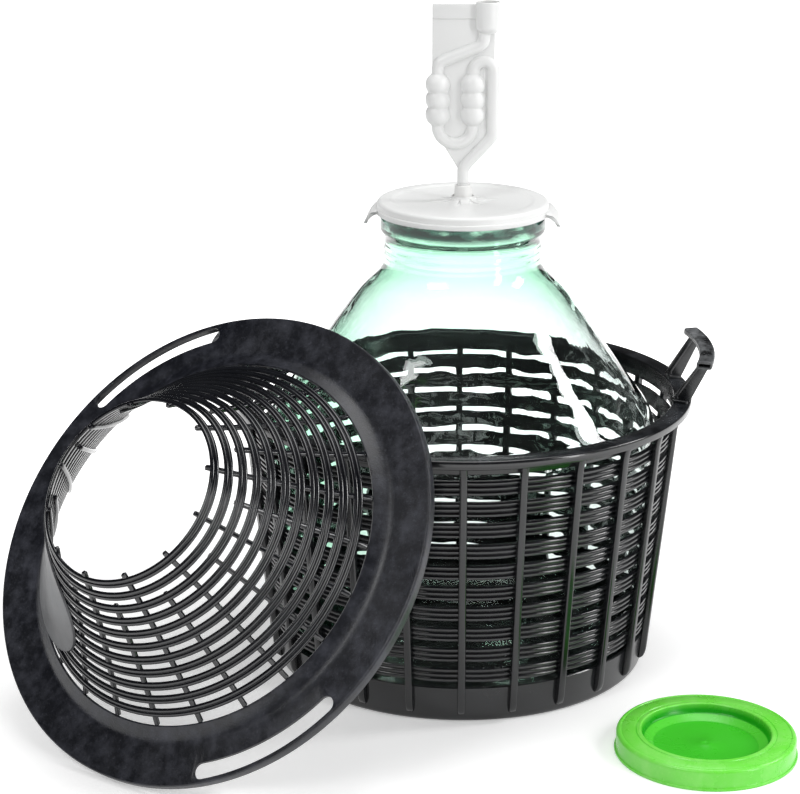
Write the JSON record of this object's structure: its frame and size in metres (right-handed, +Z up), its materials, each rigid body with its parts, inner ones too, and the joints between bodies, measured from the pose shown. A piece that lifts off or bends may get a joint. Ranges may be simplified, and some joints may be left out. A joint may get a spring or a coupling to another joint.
{
  "type": "fermentation jar with airlock",
  "caption": "Wide-necked glass fermentation jar in a lattice basket, with push-on lid, S-shaped airlock, leaning cone-shaped basket cover and spare cap.",
  "frame": {"origin": "centre of the basket's underside, on the floor", "axes": "+X along the line of the two handles, towards the spare cap's side; +Y to the back, away from the leaning cover and the spare cap; +Z up"},
  "size_m": [0.6187, 0.4978, 0.541],
  "materials": {
    "black_plastic": "satin moulded black plastic with a fine grain and light dust",
    "cover_plastic": "satin moulded black plastic, scuffed and dusty on the flange",
    "green_glass": "clear blown glass with a slight sea-green tint",
    "white_plastic": "smooth white moulded plastic, slightly glossy",
    "airlock_plastic": "translucent milky plastic, blow moulded",
    "grommet_rubber": "soft white rubber",
    "green_plastic": "bright green moulded plastic, slightly glossy"
  },
  "bodies": {
    "basket": {"basket_base": "black_plastic", "basket_wall": "black_plastic", "basket_rim": "black_plastic", "handle_right": "black_plastic", "handle_left": "black_plastic"},
    "jar": {"jar": "green_glass"},
    "lid": {"lid": "white_plastic"},
    "grommet": {"grommet": "grommet_rubber"},
    "airlock": {"airlock": "airlock_plastic"},
    "cover": {"cover_flange": "cover_plastic", "cover_cone": "cover_plastic", "cover_plate": "cover_plastic"},
    "spare_cap": {"spare_cap": "green_plastic"}
  },
  "joints": [
    {"name": "jar_lift", "type": "slide", "parent": "basket", "child": "jar", "axis": [0, 0, 1], "range_m": [0, 0.04]},
    {"name": "lid_lift", "type": "slide", "parent": "jar", "child": "lid", "axis": [0, 0, 1], "range_m": [0, 0.06]},
    {"name": "grommet_pull", "type": "slide", "parent": "lid", "child": "grommet", "axis": [0, 0, 1], "range_m": [0, 0.05]},
    {"name": "airlock_turn", "type": "hinge", "parent": "grommet", "child": "airlock", "pos_m": [0, 0, 0.384], "axis": [0, 0, 1], "continuous": true},
    {"name": "cover_away", "type": "slide", "parent": "basket", "child": "cover", "axis": [-0.4504, -0.6409, 0.6216], "range_m": [0, 0.15]},
    {"name": "cap_lift", "type": "slide", "parent": "basket", "child": "spare_cap", "axis": [0, 0, 1], "range_m": [0, 0.15]}
  ]
}
